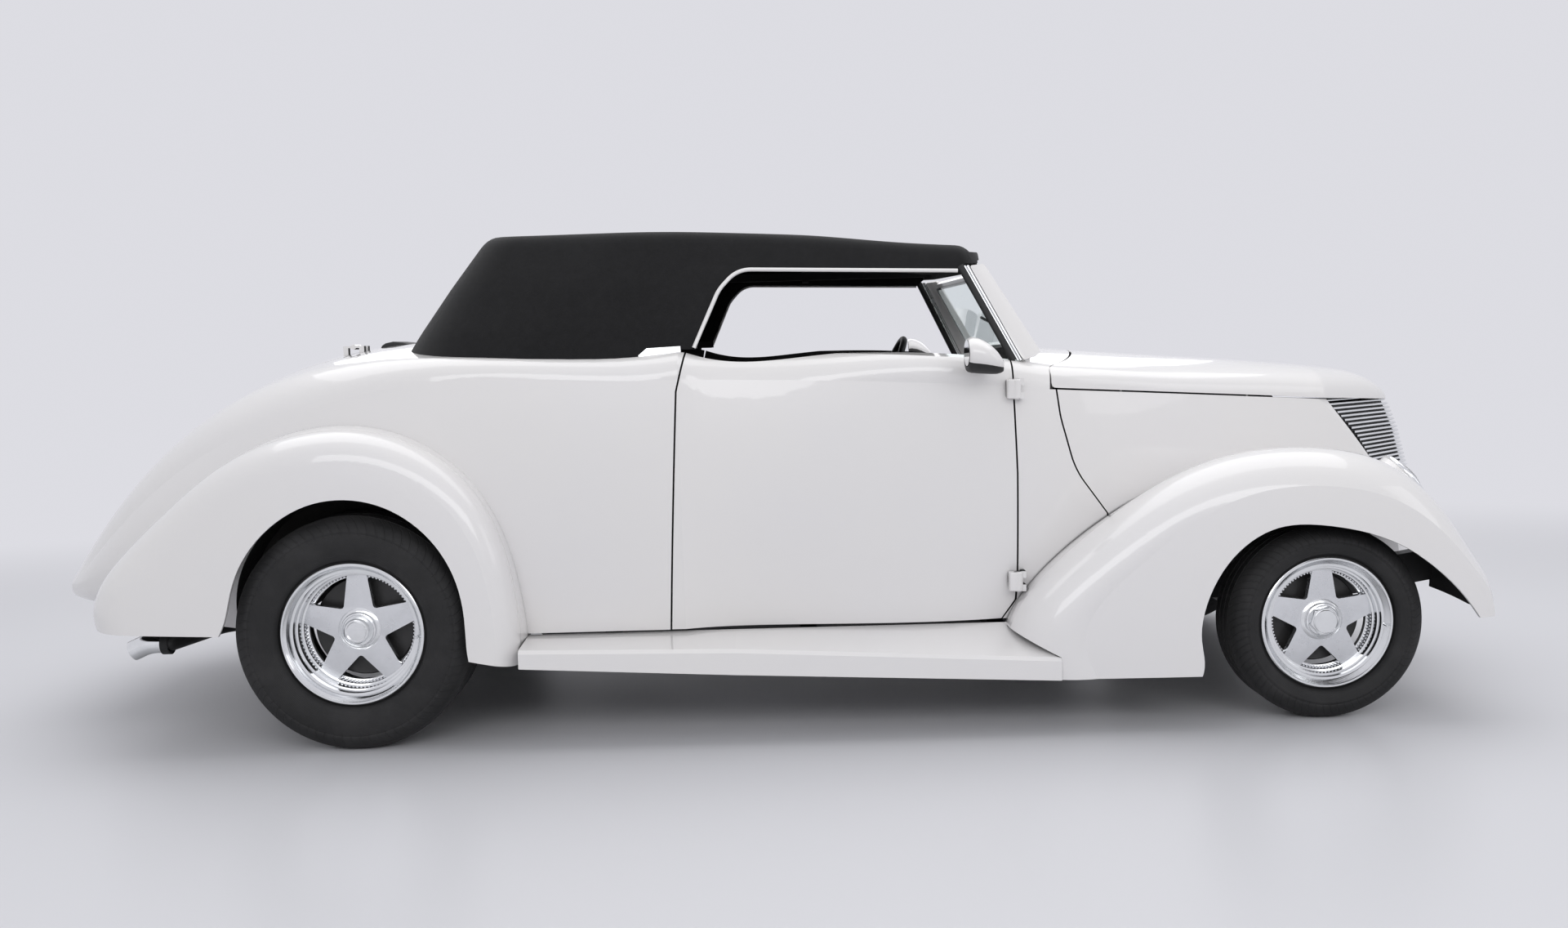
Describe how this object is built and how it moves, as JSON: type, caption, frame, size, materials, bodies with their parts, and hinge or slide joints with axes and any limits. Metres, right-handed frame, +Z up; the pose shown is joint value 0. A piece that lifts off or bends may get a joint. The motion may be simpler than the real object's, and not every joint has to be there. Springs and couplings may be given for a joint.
{
  "type": "hot rod convertible car",
  "caption": "Two-door open hot rod with a raised cloth top, full fenders, running boards, opening doors, hood and trunk lid, steered front wheels.",
  "frame": {"origin": "on the floor under the middle of the car's overall length and width", "axes": "+X forward along the car, +Y to the driver's left, +Z up"},
  "size_m": [4.52, 1.8052, 1.5158],
  "materials": {
    "pearl_paint": "gloss",
    "chassis_black": "satin",
    "chrome": "polished",
    "polished_alloy": "polished",
    "tyre": "matt",
    "glass": "clear",
    "canvas": "matt",
    "upholstery": "satin",
    "dash_paint": "satin",
    "black_plastic": "satin",
    "cast_iron": "rough",
    "steel": "satin",
    "floor": "matt",
    "red_plastic": "gloss"
  },
  "bodies": {
    "car_body": {"frame_rails": "chassis_black", "crossmembers": "chassis_black", "floor_pan": "floor", "cowl": "pearl_paint", "rear_body": "pearl_paint", "nose_panel": "pearl_paint", "grille": "chrome", "front_fenders": "pearl_paint", "rear_fenders": "pearl_paint", "running_boards": "pearl_paint", "headlights": "chrome", "headlight_lenses": "glass", "windshield_frame": "chrome", "windshield_glass": "glass", "soft_top": "canvas", "top_frame": "chassis_black", "quarter_trims": "chrome", "seat_cushion": "upholstery", "seat_back": "upholstery", "dashboard": "dash_paint", "steering_wheel": "black_plastic", "engine_block": "cast_iron", "exhaust": "steel", "fuel_tank": "chassis_black", "rear_axle": "chassis_black", "suspension": "chassis_black", "rear_lamps": "red_plastic", "wipers": "chrome"},
    "hood": {"hood": "pearl_paint"},
    "trunk_lid": {"trunk_lid": "pearl_paint"},
    "door_right": {"door_right": "pearl_paint", "mirror_right": "pearl_paint"},
    "door_left": {"door_left": "pearl_paint", "mirror_left": "pearl_paint"},
    "steer_right": {"knuckle_right": "chassis_black"},
    "steer_left": {"knuckle_left": "chassis_black"},
    "wheel_front_right": {"rim_front_right": "polished_alloy", "tyre_front_right": "tyre"},
    "wheel_front_left": {"rim_front_left": "polished_alloy", "tyre_front_left": "tyre"},
    "wheel_rear_right": {"rim_rear_right": "polished_alloy", "tyre_rear_right": "tyre"},
    "wheel_rear_left": {"rim_rear_left": "polished_alloy", "tyre_rear_left": "tyre"}
  },
  "joints": [
    {"name": "door_right_hinge", "type": "hinge", "parent": "car_body", "child": "door_right", "pos_m": [0.727, -0.72327, 0.69], "axis": [0, 0, 1], "range_deg": [0, 65]},
    {"name": "door_left_hinge", "type": "hinge", "parent": "car_body", "child": "door_left", "pos_m": [0.727, 0.72327, 0.69], "axis": [0, 0, -1], "range_deg": [0, 65]},
    {"name": "hood_hinge", "type": "hinge", "parent": "car_body", "child": "hood", "pos_m": [0.84, 0, 1.07], "axis": [0, -1, 0], "range_deg": [0, 40]},
    {"name": "trunk_hinge", "type": "hinge", "parent": "car_body", "child": "trunk_lid", "pos_m": [-1.34, 0, 1.17], "axis": [0, 1, 0], "range_deg": [0, 60]},
    {"name": "steer_left_kingpin", "type": "hinge", "parent": "car_body", "child": "steer_left", "pos_m": [1.625, 0.596, 0.288], "axis": [0, 0, 1], "range_deg": [-30, 30]},
    {"name": "steer_right_kingpin", "type": "hinge", "parent": "car_body", "child": "steer_right", "pos_m": [1.625, -0.596, 0.288], "axis": [0, 0, 1], "range_deg": [-30, 30]},
    {"name": "wheel_front_right_spin", "type": "hinge", "parent": "steer_right", "child": "wheel_front_right", "pos_m": [1.625, -0.716, 0.288], "axis": [0, 1, 0], "continuous": true},
    {"name": "wheel_front_left_spin", "type": "hinge", "parent": "steer_left", "child": "wheel_front_left", "pos_m": [1.625, 0.716, 0.288], "axis": [0, 1, 0], "continuous": true},
    {"name": "wheel_rear_right_spin", "type": "hinge", "parent": "car_body", "child": "wheel_rear_right", "pos_m": [-1.22, -0.72, 0.342], "axis": [0, 1, 0], "continuous": true},
    {"name": "wheel_rear_left_spin", "type": "hinge", "parent": "car_body", "child": "wheel_rear_left", "pos_m": [-1.22, 0.72, 0.342], "axis": [0, 1, 0], "continuous": true}
  ],
  "couplings": [
    {"joint": "steer_right_kingpin", "follows": "steer_left_kingpin", "ratio": 1}
  ]
}
